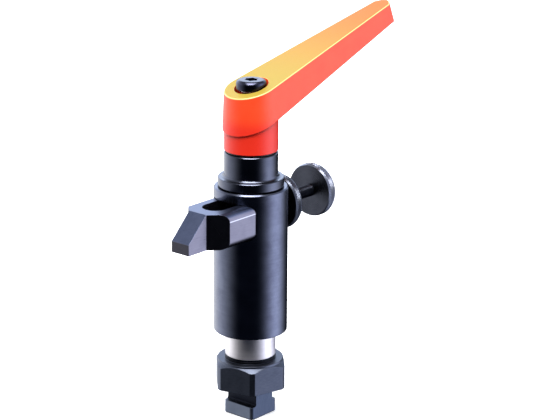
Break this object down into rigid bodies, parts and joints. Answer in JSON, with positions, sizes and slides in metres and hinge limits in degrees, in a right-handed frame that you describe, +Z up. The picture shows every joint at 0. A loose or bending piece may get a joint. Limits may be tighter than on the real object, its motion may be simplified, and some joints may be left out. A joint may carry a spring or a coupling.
{
  "type": "swing clamp",
  "caption": "Swing clamp: T-slot nut, hexagon column, round body with a sliding radial clamp arm, flange nut with angled adjustable lever, knurled stop nut and pull knob.",
  "frame": {"origin": "centre of the T-slot nut's underside, on the column's axis", "axes": "+Z up along the column; -Y along the clamp arm towards its nose; +X completes the right-handed set, across the arm"},
  "size_m": [0.035, 0.1433, 0.1892],
  "materials": {
    "slot_nut_steel": "milled steel, dark blue-grey oxide",
    "foot_stud_steel": "black oxide, threaded",
    "column_steel": "ground bright column above a blue-grey oxide hexagon",
    "clamp_stud_steel": "black oxide, threaded",
    "return_spring_wire": "bright spring wire",
    "plate_steel": "hardened, plain",
    "body_steel": "black oxide, turned, glossy",
    "arm_steel": "black oxide, milled, blue-violet sheen",
    "washer_steel": "hardened and ground",
    "flange_nut_steel": "black oxide, turned, glossy",
    "lever_coating": "satin orange-red powder coat over a die casting",
    "screw_steel": "black oxide",
    "lever_spring_wire": "bright spring wire",
    "rod_steel": "black oxide, threaded",
    "stop_nut_steel": "black oxide, knurled rim",
    "knob_steel": "black oxide, knurled rim, turned face"
  },
  "bodies": {
    "foot": {"t_slot_nut": "slot_nut_steel"},
    "stud": {"foot_stud": "foot_stud_steel"},
    "column": {"guide_column": "column_steel", "clamp_stud": "clamp_stud_steel", "return_spring": "return_spring_wire"},
    "carrier": {"thrust_washer": "washer_steel", "spring_plate": "plate_steel"},
    "body": {"clamp_body": "body_steel"},
    "arm": {"clamp_arm": "arm_steel", "knob_rod": "rod_steel", "pull_knob": "knob_steel"},
    "reach_stop": {"stop_nut": "stop_nut_steel"},
    "clamping_nut": {"flange_nut": "flange_nut_steel", "lever_screw": "screw_steel", "lever_spring": "lever_spring_wire"},
    "lever": {"lever_handle": "lever_coating"}
  },
  "joints": [
    {"name": "foot_height", "type": "slide", "parent": "foot", "child": "stud", "axis": [0, 0, 1], "range_m": [0, 0.006]},
    {"name": "hexagon_turn", "type": "hinge", "parent": "stud", "child": "column", "pos_m": [0, 0, 0.03], "axis": [0, 0, 1], "range_deg": [0, 1440]},
    {"name": "clamping_feed", "type": "slide", "parent": "column", "child": "carrier", "axis": [0, 0, -1], "range_m": [0, 0.0105], "deforming": ["return_spring"]},
    {"name": "body_swing", "type": "hinge", "parent": "carrier", "child": "body", "pos_m": [0, 0, 0.0784], "axis": [0, 0, 1], "continuous": true},
    {"name": "arm_slide", "type": "slide", "parent": "body", "child": "arm", "axis": [0, 1, 0], "range_m": [0, 0.0245]},
    {"name": "stop_nut_travel", "type": "slide", "parent": "arm", "child": "reach_stop", "axis": [0, 1, 0], "range_m": [0, 0.02]},
    {"name": "lever_turn", "type": "hinge", "parent": "carrier", "child": "clamping_nut", "pos_m": [0, 0, 0.13], "axis": [0, 0, -1], "range_deg": [0, 2520]},
    {"name": "lever_lift", "type": "slide", "parent": "clamping_nut", "child": "lever", "axis": [0, 0, 1], "range_m": [0, 0.0035], "stiffness_N_per_m": 1500, "springref_m": -0.003, "deforming": ["lever_spring"]}
  ],
  "couplings": [
    {"joint": "foot_height", "follows": "hexagon_turn", "m_per_rad": 0.00023873},
    {"joint": "clamping_feed", "follows": "lever_turn", "m_per_rad": 0.00023873}
  ]
}
